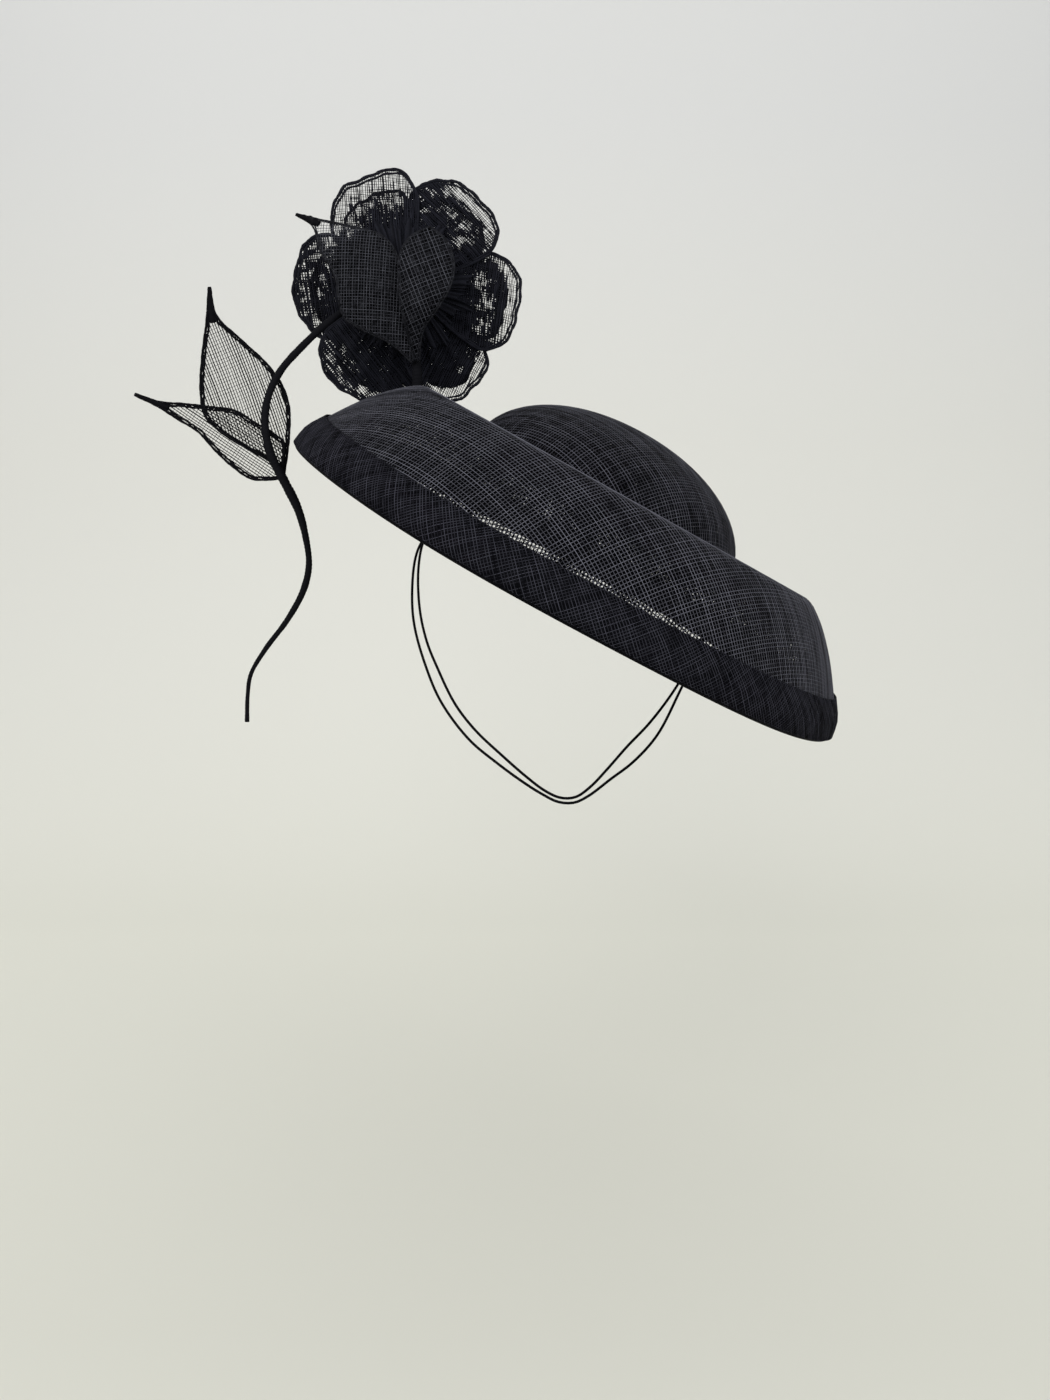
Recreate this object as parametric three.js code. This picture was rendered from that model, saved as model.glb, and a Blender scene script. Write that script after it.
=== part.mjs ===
// Fascinator: a black sinamay saucer hat, worn on a tilt, with a flower, leaves and a tendril.
// Millimetres, +Z up. The origin is the centre of the head opening. -Y is the near side.

import * as THREE from 'three';
import { LoftGeometry } from 'three/addons/geometries/LoftGeometry.js';

const { CatmullRomCurve3, MathUtils, Vector2, Vector3 } = THREE;

// Driving dimensions

const SEAT_HEIGHT = 42; // head opening above the plane of the brim's edge
const SIDE_TILT = 28.5; // degrees, left side high
const FORWARD_TILT = 3.9; // degrees, near side low

const CLOTH = 1.5; // blocked sinamay of crown and brim
const PETAL_CLOTH = 1;
const GAP = 0.3; // between pieces that touch

const HAT_SIDES = 48;
const BRIM_STEPS = 11;
const OPENING_RADIUS = 76; // the crown stands on the lip outside it

const BINDING_STEPS = 2; // of the brim's steps, about 20 mm
const BINDING_CLOTH = 1;

const CROWN_RADIUS = 81.5;
const CROWN_RISE = 50.8;
const CROWN_FULLNESS = 2.1; // 2 is an ellipse, more is squarer
const CROWN_SHIFT = -3.2; // the crown sits a little to the high side
const CROWN_STEPS = 8;

const FLOWER_CENTRE = new Vector3(-112.7, 42, 133.8);
const CORE_RADIUS = 8.7;
const CORE_SIDES = 12;

const ELASTIC_DIAMETER = 1.5;
const ELASTIC_SIDES = 8;
const ELASTIC_STEPS = 34;

// Upper side of the brim, from its edge over the ridge to the foot of the crown

const BRIM_PROFILE = [
  { radius: 167.2, height: 1.2 },
  { radius: 165.2, height: 9.5 },
  { radius: 159.6, height: 18 },
  { radius: 144.4, height: 38 },
  { radius: 129, height: 52.8 },
  { radius: 119, height: 58 },
  { radius: 107, height: 52.4 },
  { radius: 95, height: 44 },
  { radius: 86, height: SEAT_HEIGHT },
];

// Petals: middle direction and half angle in degrees, counted from +X towards +Z.
// The trims say how much shorter the rim is at its two ends, on top of its round outline.

const PETALS = [
  { direction: 115, halfAngle: 32, reach: 68, trimStart: 0, trimEnd: 2 },
  { direction: 55.5, halfAngle: 33, reach: 65.5, trimStart: 0, trimEnd: 0 },
  { direction: -8, halfAngle: 32, reach: 66, trimStart: 0, trimEnd: 0 },
  { direction: -64, halfAngle: 30, reach: 69, trimStart: 17, trimEnd: 5 },
  { direction: -124, halfAngle: 31, reach: 70.5, trimStart: 2, trimEnd: 4 },
  { direction: 178, halfAngle: 32.5, reach: 67.5, trimStart: 0, trimEnd: 0 },
];

// Both layers of petals open away from -Y. Depths are counted from the flower's centre.

const LAYERS = [
  { name: 'outer', size: 1, spread: 1, depth: 0, cup: 13, curl: 4, lap: 3.2 },
  { name: 'inner', size: 0.87, spread: 0.84, depth: 4, cup: 18, curl: 0, lap: 2 },
];

const RIM_ROUNDING = { soft: 0.09, sharp: 0.11 }; // share of the reach lost at a petal's sides
const PETAL_REACH = 68; // typical reach, which the cupping is scaled to
const PETAL_EDGE_CUP = 5;

// Leaves: along is a share of the length, middle is how far the leaf bows to its left,
// half is its half width.

const BROAD_LEFT = {
  base: new Vector3(-107.4, 29.2, 89.2),
  direction: 129.3,
  length: 104,
  bulge: -11,
  drop: 2,
  edgeDepth: 5,
  rows: [
    { along: 0, middle: 0, half: 1.8 },
    { along: 0.16, middle: -1.9, half: 6.8 },
    { along: 0.3, middle: -3, half: 15 },
    { along: 0.42, middle: -5.8, half: 21.4 },
    { along: 0.5, middle: -9.2, half: 21.4 },
    { along: 0.6, middle: -12.4, half: 17.8 },
    { along: 0.75, middle: -8.6, half: 11.6 },
    { along: 0.9, middle: -5.4, half: 2.8 },
    { along: 1, middle: 0, half: 0.8 },
  ],
};

const BROAD_RIGHT = {
  base: new Vector3(-106.2, 27.4, 89.4),
  direction: 83.3,
  length: 73.5,
  bulge: -15,
  drop: 1,
  edgeDepth: 4,
  rows: [
    { along: 0, middle: 0, half: 1.8 },
    { along: 0.23, middle: 1.8, half: 5.4 },
    { along: 0.38, middle: 0.6, half: 10.8 },
    { along: 0.54, middle: -1.3, half: 14.6 },
    { along: 0.68, middle: -1.2, half: 16 },
    { along: 0.8, middle: -0.6, half: 14.4 },
    { along: 0.92, middle: -0.4, half: 9.4 },
    { along: 1, middle: 0, half: 0.8 },
  ],
};

const TENDRIL_UPPER = {
  base: new Vector3(-178.2, -8.7, 22.8),
  direction: 110.5,
  length: 109,
  bulge: 8,
  drop: 13,
  edgeDepth: -1.5,
  rows: [
    { along: 0, middle: -0.6, half: 1.6 },
    { along: 0.08, middle: -2, half: 4.8 },
    { along: 0.19, middle: 0.2, half: 12.6 },
    { along: 0.32, middle: 3.4, half: 20.6 },
    { along: 0.43, middle: 6, half: 23.6 },
    { along: 0.545, middle: 6.5, half: 20.8 },
    { along: 0.71, middle: 6.7, half: 12.2 },
    { along: 0.87, middle: 5.4, half: 3.1 },
    { along: 1, middle: 0.2, half: 0.8 },
  ],
};

const TENDRIL_LOWER = {
  base: new Vector3(-178.6, -10.2, 21.8),
  direction: 151.1,
  length: 91,
  bulge: -1,
  drop: 6,
  edgeDepth: -1,
  rows: [
    { along: 0, middle: -1.2, half: 1.8 },
    { along: 0.065, middle: -6.4, half: 11 },
    { along: 0.135, middle: -6, half: 13.8 },
    { along: 0.27, middle: -6.4, half: 13.8 },
    { along: 0.42, middle: -8.3, half: 12.3 },
    { along: 0.55, middle: -8.1, half: 8 },
    { along: 0.71, middle: -5.5, half: 4.7 },
    { along: 0.83, middle: -3.4, half: 1.9 },
    { along: 1, middle: -1.4, half: 0.8 },
  ],
};

const LEAF_STEPS = { along: 10, across: 6 };

// Wires: the centre line and the radius at each of its points

const STALK = {
  steps: 8,
  rows: [
    { x: -112, y: 37.4, z: 125, radius: 2.4 },
    { x: -109, y: 33.4, z: 106, radius: 2.4 },
    { x: -106.8, y: 33, z: 88, radius: 2.6 },
    { x: -106.8, y: 33.4, z: 71.6, radius: 3.2 },
  ],
};

const TENDRIL = {
  steps: 36,
  rows: [
    { x: -120.3, y: 36.2, z: 130, radius: 2.3 },
    { x: -137.5, y: 33.5, z: 123, radius: 2.2 },
    { x: -152.6, y: 29.5, z: 114, radius: 2 },
    { x: -170.2, y: 14, z: 94, radius: 2 },
    { x: -179.4, y: 2, z: 79.4, radius: 2 },
    { x: -184, y: -9, z: 63.6, radius: 2 },
    { x: -184.9, y: -13, z: 50, radius: 2.2 },
    { x: -182, y: -14, z: 34, radius: 2.4 },
    { x: -175.8, y: -13.4, z: 20.8, radius: 2.6 },
    { x: -168.6, y: -12, z: 4.6, radius: 2.4 },
    { x: -165.2, y: -10, z: -11.8, radius: 1.8 },
    { x: -164.6, y: -8, z: -25.6, radius: 1.8 },
    { x: -168.2, y: -7, z: -39.2, radius: 1.9 },
    { x: -178, y: -6, z: -56, radius: 1.6 },
    { x: -191.6, y: -5, z: -73.2, radius: 1.4 },
    { x: -200.6, y: -4, z: -87.6, radius: 1.2 },
    { x: -203.2, y: -3, z: -100, radius: 1.2 },
    { x: -204.2, y: -3, z: -115.2, radius: 1.3 },
  ],
};

// Elastics: each runs from the high side of the opening, under the chin, to the low side

const ELASTIC_OUTER = [
  [-72.1, 2.7, 37.1], [-83.4, 1, 17.4], [-95, -1.4, -3], [-103, -3, -14.6], [-106, -4.6, -24],
  [-107.4, -8, -44.4], [-105.8, -12, -59.7], [-99.2, -20, -80.7], [-90.2, -29, -99.4],
  [-74.5, -39, -118.4], [-59.2, -46, -129.9], [-44.6, -51, -139.6], [-35, -53, -145.3],
  [-26.5, -54.4, -149.2], [-18, -54.6, -149.6], [-10.5, -54, -146.2], [1.8, -51, -137.5],
  [14, -46, -129.4], [27.6, -38, -116.4], [41.6, -24, -94.1], [56, -10.6, -68], [70.3, 2.7, -40.2],
];

const ELASTIC_INNER = [
  [-72.2, -2.5, 36.7], [-83.6, -3.4, 17.4], [-94.4, -4.4, 0], [-101, -5.4, -13], [-103.6, -8, -27.9],
  [-102.8, -12, -49.7], [-98.7, -18, -66.8], [-92.2, -26, -81], [-82.2, -34, -99.7],
  [-71.1, -40, -113], [-57, -45, -125.5], [-43.6, -49, -136.6], [-33.5, -51.6, -143.8],
  [-25, -52.8, -147.4], [-17, -52.6, -147], [-9, -51.4, -141.6], [0, -49.4, -132.4],
  [10.7, -44.6, -121.3], [24.3, -36, -109.1], [40.4, -24, -90.4], [55, -13.4, -66],
  [70.1, -2.5, -40.5],
];

// Materials

const SINAMAY = { color: 0x17171a, roughness: 0.72, metalness: 0 };
const BINDING = { color: 0x101012, roughness: 0.8, metalness: 0 };
const WRAPPED_WIRE = { color: 0x0d0d0f, roughness: 0.62, metalness: 0 };
const ELASTIC = { color: 0x0b0b0c, roughness: 0.55, metalness: 0 };

function piece(name, geometry, finish) {
  const mesh = new THREE.Mesh(geometry, new THREE.MeshStandardMaterial(finish));
  mesh.name = name;
  return mesh;
}

// Turned pieces of the hat

const brimCurve = new CatmullRomCurve3(
  BRIM_PROFILE.map((row) => new Vector3(row.radius, row.height, 0)), false, 'centripetal');

// A point of the brim's section at a step from the edge, raised above its upper side
function brimPoint(step, raise, beyondEdge = 0) {
  const share = step / BRIM_STEPS;
  const point = brimCurve.getPointAt(share);
  const tangent = brimCurve.getTangentAt(share);
  return new Vector2(
    point.x + tangent.y * raise - tangent.x * beyondEdge,
    point.y - tangent.x * raise - tangent.y * beyondEdge);
}

function steps(first, last) {
  const count = Math.abs(last - first);
  return Array.from({ length: count + 1 }, (_, i) => first + Math.sign(last - first) * i);
}

function turned(profile) {
  const closed = [...profile, profile[0]];
  return new THREE.LatheGeometry(closed, HAT_SIDES).rotateX(Math.PI / 2);
}

function brim() {
  const lip = [
    new Vector2(OPENING_RADIUS, SEAT_HEIGHT),
    new Vector2(OPENING_RADIUS, SEAT_HEIGHT - CLOTH),
  ];
  return turned([
    ...steps(0, BRIM_STEPS).map((step) => brimPoint(step, 0)),
    ...lip,
    ...steps(BRIM_STEPS, 0).map((step) => brimPoint(step, -CLOTH)),
  ]);
}

// The strip is folded over the edge, so its section is a narrow U
function brimBinding() {
  const outside = GAP + BINDING_CLOTH;
  const upAndDown = [steps(0, BINDING_STEPS), steps(BINDING_STEPS, 0)];
  return turned([
    ...upAndDown[1].map((step) => brimPoint(step, -CLOTH - outside)),
    brimPoint(0, -CLOTH - outside / 2, outside),
    brimPoint(0, outside / 2, outside),
    ...upAndDown[0].map((step) => brimPoint(step, outside)),
    ...upAndDown[1].map((step) => brimPoint(step, GAP)),
    brimPoint(0, GAP, GAP),
    brimPoint(0, -CLOTH - GAP, GAP),
    ...upAndDown[0].map((step) => brimPoint(step, -CLOTH - GAP)),
  ]);
}

function crown() {
  function arc(radius, rise) {
    return steps(0, CROWN_STEPS).map((step) => {
      const angle = Math.PI / 2 * step / CROWN_STEPS;
      const out = Math.max(0, Math.cos(angle)) ** (2 / CROWN_FULLNESS);
      const up = Math.sin(angle) ** (2 / CROWN_FULLNESS);
      return new Vector2(step === CROWN_STEPS ? 0 : radius * out, SEAT_HEIGHT + GAP + rise * up);
    });
  }
  const outside = arc(CROWN_RADIUS, CROWN_RISE);
  const inside = arc(CROWN_RADIUS - CLOTH, CROWN_RISE - CLOTH).reverse();
  const geometry = new THREE.LatheGeometry([...inside, ...outside], HAT_SIDES);
  return geometry.rotateX(Math.PI / 2).translate(CROWN_SHIFT, 0, 0);
}

// Sheets: a thin slab bent so that its middle follows place(along, across), across from -1 to 1

function sheet(along, across, thickness, place) {
  const delta = 1e-3;
  function lifted(u, v, height) {
    const alongEdge = place(u + delta, v).sub(place(u - delta, v));
    const acrossEdge = place(u, v + delta).sub(place(u, v - delta));
    return place(u, v).addScaledVector(acrossEdge.cross(alongEdge).normalize(), height);
  }
  const slab = new THREE.BoxGeometry(2, 1, thickness, across, along, 1);
  const corners = slab.attributes.position;
  for (let i = 0; i < corners.count; i += 1) {
    const bent = lifted(corners.getY(i) + 0.5, corners.getX(i), corners.getZ(i));
    corners.setXYZ(i, bent.x, bent.y, bent.z);
  }
  slab.computeVertexNormals();
  return slab;
}

function petal(shape, layer) {
  const spread = shape.halfAngle * layer.spread;
  return sheet(7, 6, PETAL_CLOTH, (u, v) => {
    const side = v * v;
    const trim = (v < 0 ? shape.trimStart : shape.trimEnd) * Math.sqrt(Math.abs(v) * side + 1e-9);
    const outline = 1 - RIM_ROUNDING.soft * side - RIM_ROUNDING.sharp * side ** 3;
    const rim = (shape.reach * outline - trim) * layer.size;
    const radius = MathUtils.lerp(CORE_RADIUS + GAP, rim, u);
    const angle = MathUtils.degToRad(shape.direction + v * spread * (0.85 + 0.15 * u * u));
    const out = radius / PETAL_REACH;
    const curl = layer.curl * (1 - side) * Math.max(0, (u - 0.7) / 0.3) ** 2;
    const dish = layer.cup * out * out - curl;
    const depth = layer.depth + dish + (PETAL_EDGE_CUP * side + layer.lap * v) * out;
    return new Vector3(radius * Math.cos(angle), depth, radius * Math.sin(angle));
  });
}

function flowerCore() {
  const profile = [
    [0, -8], [5, -7.4], [8, -5], [CORE_RADIUS, -2], [CORE_RADIUS, 8], [7.6, 13], [4.4, 16.4], [0, 17.6],
  ].map(([radius, depth]) => new Vector2(radius, depth));
  return new THREE.LatheGeometry(profile, CORE_SIDES);
}

// Smooth interpolation between the rows of a table
function between(rows, share, key) {
  const points = rows.map((row) => new Vector3(row.along, row[key], 0));
  const next = Math.max(1, rows.findIndex((row) => row.along >= share));
  const local = (share - rows[next - 1].along) / (rows[next].along - rows[next - 1].along);
  const curve = new CatmullRomCurve3(points, false, 'centripetal');
  return curve.getPoint((next - 1 + local) / (rows.length - 1)).y;
}

function leaf(shape) {
  const angle = MathUtils.degToRad(shape.direction);
  const ahead = new Vector3(Math.cos(angle), 0, Math.sin(angle));
  const left = new Vector3(-Math.sin(angle), 0, Math.cos(angle));
  return sheet(LEAF_STEPS.along, LEAF_STEPS.across, PETAL_CLOTH, (u, v) => {
    const share = MathUtils.clamp(u, 0, 1);
    const aside = between(shape.rows, share, 'middle') + v * between(shape.rows, share, 'half');
    const bow = Math.sin(share * Math.PI);
    const depth = shape.bulge * bow + shape.edgeDepth * v * v * bow + shape.drop * share;
    return shape.base.clone()
      .addScaledVector(ahead, u * shape.length)
      .addScaledVector(left, aside)
      .add(new Vector3(0, depth, 0));
  });
}

// Wires and elastics

function taperedTube(shape, sides) {
  const curve = new CatmullRomCurve3(
    shape.rows.map((row) => new Vector3(row.x, row.y, row.z)), false, 'centripetal');
  const frames = curve.computeFrenetFrames(shape.steps);
  const sections = steps(0, shape.steps).map((i) => {
    const share = curve.getUtoTmapping(i / shape.steps) * (shape.rows.length - 1);
    const row = Math.min(Math.floor(share), shape.rows.length - 2);
    const radius = MathUtils.lerp(shape.rows[row].radius, shape.rows[row + 1].radius, share - row);
    const centre = curve.getPointAt(i / shape.steps);
    return steps(0, sides - 1).map((j) => {
      const angle = 2 * Math.PI * j / sides;
      return centre.clone()
        .addScaledVector(frames.normals[i], radius * Math.cos(angle))
        .addScaledVector(frames.binormals[i], radius * Math.sin(angle));
    });
  });
  return new LoftGeometry(sections, { capStart: true, capEnd: true });
}

function elastic(route) {
  const path = new CatmullRomCurve3(route.map((point) => new Vector3(...point)), false, 'centripetal');
  const section = new THREE.Shape().absarc(0, 0, ELASTIC_DIAMETER / 2, 0, 2 * Math.PI);
  return new THREE.ExtrudeGeometry(section, {
    steps: ELASTIC_STEPS, curveSegments: ELASTIC_SIDES / 2, extrudePath: path, bevelEnabled: false,
  });
}

// Assembly

const fascinator = new THREE.Group();

// The hat is made level, about its opening, then tipped forward and to the side
const levelHat = new THREE.Group();
levelHat.position.z = -SEAT_HEIGHT;
levelHat.add(
  piece('crown', crown(), SINAMAY),
  piece('brim', brim(), SINAMAY),
  piece('brim_binding', brimBinding(), BINDING));

const tippedForward = new THREE.Group();
tippedForward.rotation.x = MathUtils.degToRad(FORWARD_TILT);
tippedForward.add(levelHat);

const tippedAside = new THREE.Group();
tippedAside.rotation.y = MathUtils.degToRad(SIDE_TILT);
tippedAside.add(tippedForward);
fascinator.add(tippedAside);

const flower = new THREE.Group();
flower.position.copy(FLOWER_CENTRE);
flower.add(piece('flower_core', flowerCore(), SINAMAY));
for (const layer of LAYERS) {
  PETALS.forEach((shape, index) => {
    flower.add(piece(`petal_${layer.name}_${index + 1}`, petal(shape, layer), SINAMAY));
  });
}
fascinator.add(flower);

fascinator.add(
  piece('flower_leaf_left', leaf(BROAD_LEFT), SINAMAY),
  piece('flower_leaf_right', leaf(BROAD_RIGHT), SINAMAY),
  piece('flower_stalk', taperedTube(STALK, 8), WRAPPED_WIRE),
  piece('tendril', taperedTube(TENDRIL, 8), WRAPPED_WIRE),
  piece('tendril_leaf_upper', leaf(TENDRIL_UPPER), SINAMAY),
  piece('tendril_leaf_lower', leaf(TENDRIL_LOWER), SINAMAY),
  piece('elastic_outer', elastic(ELASTIC_OUTER), ELASTIC),
  piece('elastic_inner', elastic(ELASTIC_INNER), ELASTIC));

export default fascinator;
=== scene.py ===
"""Fascinator: a black sinamay saucer hat with a flower, leaves, a tendril and chin elastics.

The sinamay is woven from real strands. Sizes are in millimetres until a mesh or curve is made,
in the same frame as the CAD model: +Z up as worn, +X the low side of the hat, -Y the near side.
"""

import math

import bpy
import numpy as np
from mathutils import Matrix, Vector


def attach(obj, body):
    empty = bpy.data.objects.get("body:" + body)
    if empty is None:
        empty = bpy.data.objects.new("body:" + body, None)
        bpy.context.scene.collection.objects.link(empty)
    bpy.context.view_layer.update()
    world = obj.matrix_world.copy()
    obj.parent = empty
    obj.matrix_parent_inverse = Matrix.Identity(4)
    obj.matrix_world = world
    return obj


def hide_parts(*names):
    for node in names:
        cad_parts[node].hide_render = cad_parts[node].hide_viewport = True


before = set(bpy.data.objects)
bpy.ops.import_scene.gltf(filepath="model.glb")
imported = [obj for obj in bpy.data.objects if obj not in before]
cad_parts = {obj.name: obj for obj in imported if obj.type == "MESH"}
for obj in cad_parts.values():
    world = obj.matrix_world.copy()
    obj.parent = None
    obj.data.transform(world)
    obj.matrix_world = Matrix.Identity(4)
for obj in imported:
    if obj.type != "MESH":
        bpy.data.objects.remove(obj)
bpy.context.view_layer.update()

MM = 0.001

# Hat: the driving dimensions of the CAD model

SEAT_HEIGHT = 42  # head opening above the plane of the brim's edge
SIDE_TILT = math.radians(28.5)
FORWARD_TILT = math.radians(3.9)
OPENING_RADIUS = 76
CLOTH = 1.5  # walls of crown and brim
GAP = 0.3  # between the crown's foot and the brim

CROWN_RADIUS = 81.5
CROWN_RISE = 50.8
CROWN_FULLNESS = 2.1  # 2 is an ellipse, more is squarer
CROWN_SHIFT = -3.2  # the crown sits a little to the high side

# Upper side of the brim, from its edge over the ridge to the foot of the crown: radius, height
BRIM_PROFILE = [
    (167.2, 1.2), (165.2, 9.5), (159.6, 18), (144.4, 38), (129, 52.8),
    (119, 58), (107, 52.4), (95, 44), (86, SEAT_HEIGHT),
]

BINDING_WIDTH = 20.5
BINDING_LIFT = 1.1  # its outer face above the brim's upper side
BINDING_PITCH = 1.4
BINDING_STRAND = 0.4

# Weave of the hat's sinamay: two layers of cloth, each of strands in two directions.
# Tones run from 0 for dark to 1 for light.

PITCH = 1.9  # from strand to strand
STRAND = 0.42  # a strand's width
UNDER_STRAND = 1.75  # the under layer is pressed flat and close
STRAND_RISE = 0.18  # half of a strand's thickness
CROSSING = 0.13  # how far the two directions lie off their layer's middle
# Painted light and shade: the brim's tones are higher because its near face is lit, and the crown's lower
# as painted shade on its top. The under layer's tones are near 0 as painted shade between the upper
# strands.
BRIM_TONES = (0.25, 0.9)
CROWN_TONES = (0.15, 0.65)
UNDER_TONES = (0, 0.3)
STREAKS = 0.22  # how much a strand's tone changes along it, either way
GRAIN = math.radians(-125)  # direction of the first strands, from the low side
UNDER_TURN = math.radians(36)  # of the under layer against the upper one
LAYER_DEPTH = 0.4  # the upper layer's middle, below the outer face
LAYER_GAP = 0.8  # between the middles of the two layers
STRAND_STEP = 5  # between a strand's points
UPPER_LOOSENESS = 0.1  # how much thinner the brim's strands get in loose patches
UNDER_LOOSENESS = 0.7

# Flower

FLOWER_CENTRE = np.array([-112.7, 42, 133.8])
CORE_RADIUS = 8.7
PETAL_GAP = 0.3  # between the core and the petals' roots
PETAL_REACH = 68  # typical reach, which the cupping is scaled to
PETAL_EDGE_CUP = 5
ROUND_SOFT = 0.09  # share of the reach lost at a petal's sides
ROUND_SHARP = 0.11  # and close to its corners
CORNER_WIDTH = 0.14  # of a corner that sticks out, as a share of half the rim
BAND_FROM = 0.83  # share of a petal's length where its open rim starts
BAND_SLOPE = 14  # how sharply the open rim ends at its sides
SHUT_BAND = 0.35  # how open the rim is where a petal has no open band
INNER_RIM_FROM = 0.93  # beyond this share of its length, an inner petal is bunched up

# Petals: middle direction and half angle in degrees, from +X towards +Z. They lie as in the CAD model,
# but the first is shorter between two corners, and the fifth is widened to a corner beside the stalk.
# The trims say how much shorter the rim is at its two ends. grain is the direction of the threads.
# band is where the petal's rim is open, from -1 to 1 across it.
# In a light petal the inner layer is open right up to its rim, and has a single edge.
# Corners are where the rim sticks out: from -1 to 1 across it, and how far.
# Windows are patches where the cloth isn't bunched up: direction, distance from the centre, radius.
PETALS = [
    dict(direction=115, half=32, reach=66.4, trim_start=0, trim_end=2, grain=93, band=(-1, 1),
         corners=[(-0.67, 3), (0.2, 1.2)], light=True,
         windows=[(132, 53, 12), (122, 55, 11), (114, 56, 9), (99, 52, 11), (93, 55, 9)]),
    dict(direction=55.5, half=33, reach=65.5, trim_start=0, trim_end=0, grain=134, band=(-0.9, 0.4),
         windows=[(46, 51, 8), (56, 51, 6), (65, 51, 4), (41, 41, 6), (36, 52, 6), (78, 45, 4)]),
    dict(direction=-8, half=32, reach=66, trim_start=0, trim_end=0, grain=82, band=(-0.7, 0.85),
         windows=[(7, 43, 7), (-9, 47, 7), (-26, 49, 6), (-18, 50, 3)]),
    dict(direction=-64, half=30, reach=69, trim_start=17, trim_end=5, grain=63, band=(-0.5, 0.9),
         windows=[(-56, 55, 2.5), (-45, 52, 3), (-72, 64, 4)]),
    dict(direction=-122, half=33, reach=70.5, trim_start=2, trim_end=4, grain=128, band=(0, 0),
         corners=[(1, 14)],
         windows=[(-133, 58, 6), (-126, 59, 4), (-117, 62, 5), (-110, 64, 4), (-140, 53, 3)]),
    dict(direction=178, half=32.5, reach=67.5, trim_start=0, trim_end=0, grain=97, band=(0, 0),
         windows=[(160, 49, 7.5), (172, 53, 6), (182, 54, 6), (197, 56, 5), (150, 52, 5)]),
]

# Layers of petals: size and spread against the table above, and how they bend towards +Y.
# The inner one spreads a little wider than in the CAD model. turn is added to the grain.
# pitch, closed and open have a number for each direction of the threads: their spacing,
# and half their width where the cloth is bunched up and where it is open.
# edge is the radius of the rolled edge, and the gathers reach to a share of the petal's length.
LAYERS = [
    dict(name="outer", size=1, spread=1, depth=0, cup=13, curl=4, lap=3.2,
         turn=0, pitch=(1.15, 1.4), closed=(0.76, 0.66), open=(0.27, 0.13), edge=0.9, gather_to=0.46),
    dict(name="inner", size=0.87, spread=0.9, depth=4, cup=18, curl=0, lap=2,
         turn=9, pitch=(1.15, 1.4), closed=(0.76, 0.7), open=(0.2, 0.12), edge=0.95, gather_to=0.5),
]

# Leaves, as in the CAD model. Rows: share of the length, bow of the middle to the left, half width.
# bulge, drop and edge_depth bend a leaf towards +Y: in the middle of its length, at its tip, at its sides.
# grain turns the weave against the leaf, and pitch and strand have a number for each direction.
# edge is the radius of the rolled edge. The sides twist together from tip_from,
# and a second layer reaches to under_to, both as shares of the length.

LEAVES = {
    "flower_leaf_left": dict(
        base=(-107.4, 29.2, 89.2), direction=129.3, length=104, bulge=-11, drop=2, edge_depth=5,
        rows=[(0, 0, 1.8), (0.16, -1.9, 6.8), (0.3, -3, 15), (0.42, -5.8, 21.4), (0.5, -9.2, 21.4),
              (0.6, -12.4, 17.8), (0.75, -8.6, 11.6), (0.9, -5.4, 2.8), (1, 0, 0.8)],
        grain=47, pitch=(1.65, 1.65), strand=(0.27, 0.33), edge=0.55, tip_from=0.87, under_to=0.7),
    "flower_leaf_right": dict(
        base=(-106.2, 27.4, 89.4), direction=83.3, length=73.5, bulge=-15, drop=1, edge_depth=4,
        rows=[(0, 0, 1.8), (0.23, 1.8, 5.4), (0.38, 0.6, 10.8), (0.54, -1.3, 14.6),
              (0.68, -1.2, 16), (0.8, -0.6, 14.4), (0.92, -0.4, 9.4), (1, 0, 0.8)],
        grain=28, pitch=(2.1, 2.1), strand=(0.35, 0.35), edge=0.55, tip_from=0.98, under_to=1),
    "tendril_leaf_upper": dict(
        base=(-178.2, -8.7, 22.8), direction=110.5, length=109, bulge=8, drop=13, edge_depth=-1.5,
        rows=[(0, -0.6, 1.6), (0.08, -2, 4.8), (0.19, 0.2, 12.6), (0.32, 3.4, 20.6), (0.43, 6, 23.6),
              (0.545, 6.5, 20.8), (0.71, 6.7, 12.2), (0.87, 5.4, 3.1), (1, 0.2, 0.8)],
        grain=0, pitch=(1.45, 2), strand=(0.6, 0.2), edge=0.75, tip_from=0.84, under_to=0),
    "tendril_leaf_lower": dict(
        base=(-178.6, -10.2, 21.8), direction=151.1, length=91, bulge=-1, drop=6, edge_depth=-1,
        rows=[(0, -1.2, 1.8), (0.065, -6.4, 11), (0.135, -6, 13.8), (0.27, -6.4, 13.8),
              (0.42, -8.3, 12.3), (0.55, -8.1, 8), (0.71, -5.5, 4.7), (0.83, -3.4, 1.9), (1, -1.4, 0.8)],
        grain=-5, pitch=(1.45, 1.9), strand=(0.52, 0.2), edge=0.7, tip_from=0.78, under_to=0),
}

# Wires: centre line and radius at each point, as in the CAD model

STALK = [
    (-112, 37.4, 125, 2.4), (-109, 33.4, 106, 2.4), (-106.8, 33, 88, 2.6), (-106.8, 33.4, 71.6, 3.2),
]

TENDRIL = [
    (-120.3, 36.2, 130, 2.3), (-137.5, 33.5, 123, 2.2), (-152.6, 29.5, 114, 2),
    (-170.2, 14, 94, 2), (-179.4, 2, 79.4, 2), (-184, -9, 63.6, 2),
    (-184.9, -13, 50, 2.2), (-182, -14, 34, 2.4), (-175.8, -13.4, 20.8, 2.6),
    (-168.6, -12, 4.6, 2.4), (-165.2, -10, -11.8, 1.8), (-164.6, -8, -25.6, 1.8),
    (-168.2, -7, -39.2, 1.9), (-178, -6, -56, 1.6), (-191.6, -5, -73.2, 1.4),
    (-200.6, -4, -87.6, 1.2), (-203.2, -3, -100, 1.2), (-204.2, -3, -115.2, 1.3),
]

# Elastics: each runs from the high side of the opening, under the chin, to the low side

ELASTIC_DIAMETER = 1.5

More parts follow.
